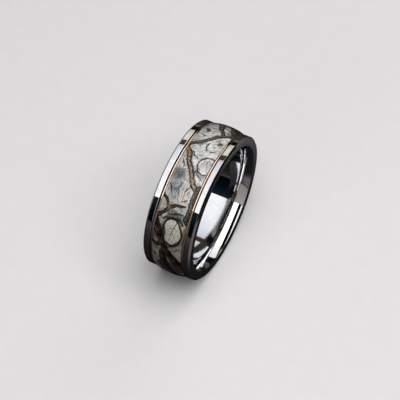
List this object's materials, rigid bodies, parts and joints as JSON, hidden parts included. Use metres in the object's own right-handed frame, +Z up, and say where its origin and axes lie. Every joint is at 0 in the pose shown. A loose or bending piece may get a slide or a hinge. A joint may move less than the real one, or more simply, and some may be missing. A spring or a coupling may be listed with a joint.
{
  "type": "wedding band",
  "caption": "Polished wedding band with flat rims, a comfort-fit bore and a camouflage print inlay under a low dome of clear resin, framed by rose gold wires.",
  "frame": {"origin": "centre of the ring: on the bore axis, half way between the two end faces", "axes": "+X along the bore axis towards the right-hand end face, +Z up with the band standing on edge, +Y away from a viewer who faces the outside of the band"},
  "size_m": [0.008, 0.0246, 0.0246],
  "materials": {
    "band_metal": "mirror polished white metal, with fine wear marks",
    "rose_gold": "polished rose gold",
    "gold_solder": "polished gold solder, a little paler than the wire",
    "camo_print": "printed film with pale bark, twigs and leaves",
    "bond": "cured amber adhesive",
    "resin": "clear, domed and polished"
  },
  "bodies": {
    "root": {"band_core": "band_metal", "inlay_adhesive": "bond", "camo_film": "camo_print", "clear_resin": "resin", "gold_wire_left": "rose_gold", "gold_wire_right": "rose_gold", "wire_solder_left": "gold_solder", "wire_solder_right": "gold_solder"}
  },
  "joints": []
}
